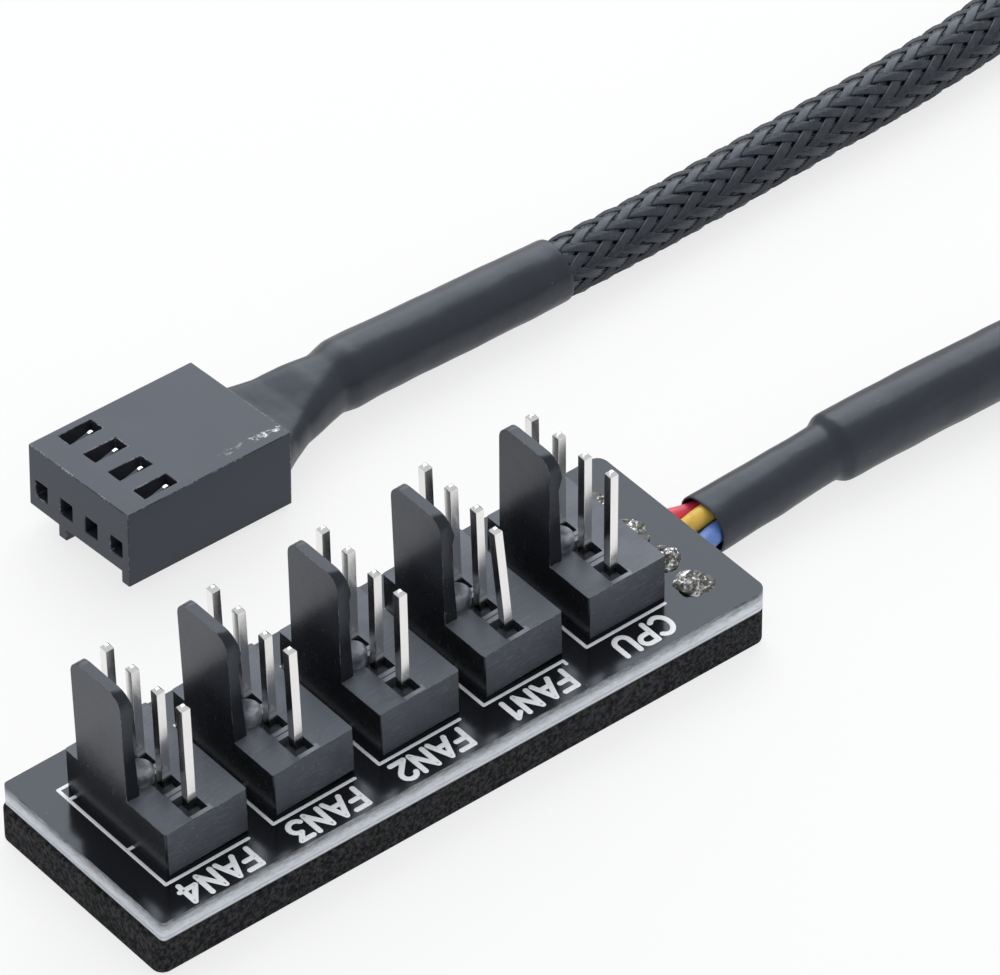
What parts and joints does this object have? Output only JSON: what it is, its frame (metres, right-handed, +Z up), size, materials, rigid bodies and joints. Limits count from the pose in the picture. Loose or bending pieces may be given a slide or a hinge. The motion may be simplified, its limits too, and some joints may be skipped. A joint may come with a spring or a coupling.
{
  "type": "pc fan controller hub",
  "caption": "Narrow fan hub: a row of friction-lock pin headers on a foam-backed circuit board, fed by soldered wires in a braided sleeve that ends in a crimp plug.",
  "frame": {"origin": "centre of the hub's foam underside, where it rests", "axes": "+X along the board towards the wires, +Y across the board towards the plug's side, +Z up out of the headers"},
  "size_m": [0.1644, 0.0517, 0.0166],
  "materials": {
    "circuit_board": "black solder mask over glass-epoxy laminate",
    "foam": "dark grey closed-cell foam with a cut edge",
    "header_plastic": "black moulded plastic, satin, scuffed at its edges",
    "tinned_pin": "bright tin plate",
    "solder": "rough solder",
    "tinned_copper": "tinned strands",
    "wire_red": "red insulation",
    "wire_yellow": "yellow insulation",
    "wire_black": "black insulation",
    "wire_blue": "blue insulation",
    "braid": "black braided monofilament",
    "heat_shrink": "black heat-shrink tube, satin",
    "plug_plastic": "black moulded plastic, satin, scuffed",
    "terminal": "tin-plated spring brass"
  },
  "bodies": {
    "root": {"circuit_board": "circuit_board", "foam_pad": "foam", "header_fan4": "header_plastic", "pin_fan4_1": "tinned_pin", "pin_fan4_2": "tinned_pin", "pin_fan4_3": "tinned_pin", "pin_fan4_4": "tinned_pin", "solder_fan4": "solder", "header_fan3": "header_plastic", "pin_fan3_1": "tinned_pin", "pin_fan3_2": "tinned_pin", "pin_fan3_3": "tinned_pin", "pin_fan3_4": "tinned_pin", "solder_fan3": "solder", "header_fan2": "header_plastic", "pin_fan2_1": "tinned_pin", "pin_fan2_2": "tinned_pin", "pin_fan2_3": "tinned_pin", "pin_fan2_4": "tinned_pin", "solder_fan2": "solder", "header_fan1": "header_plastic", "pin_fan1_1": "tinned_pin", "pin_fan1_2": "tinned_pin", "pin_fan1_3": "tinned_pin", "pin_fan1_4": "tinned_pin", "solder_fan1": "solder", "header_cpu": "header_plastic", "pin_cpu_1": "tinned_pin", "pin_cpu_2": "tinned_pin", "pin_cpu_3": "tinned_pin", "pin_cpu_4": "tinned_pin", "solder_cpu": "solder", "conductor_red": "tinned_copper", "solder_joint_red": "solder", "wire_red": "wire_red", "conductor_yellow": "tinned_copper", "solder_joint_yellow": "solder", "wire_yellow": "wire_yellow", "conductor_black": "tinned_copper", "solder_joint_black": "solder", "wire_black": "wire_black", "conductor_blue": "tinned_copper", "solder_joint_blue": "solder", "wire_blue": "wire_blue", "braided_sleeve": "braid", "heat_shrink_hub": "heat_shrink", "heat_shrink_plug": "heat_shrink", "plug_housing": "plug_plastic", "crimp_terminal_1": "terminal", "crimp_terminal_2": "terminal", "crimp_terminal_3": "terminal", "crimp_terminal_4": "terminal"}
  },
  "joints": []
}
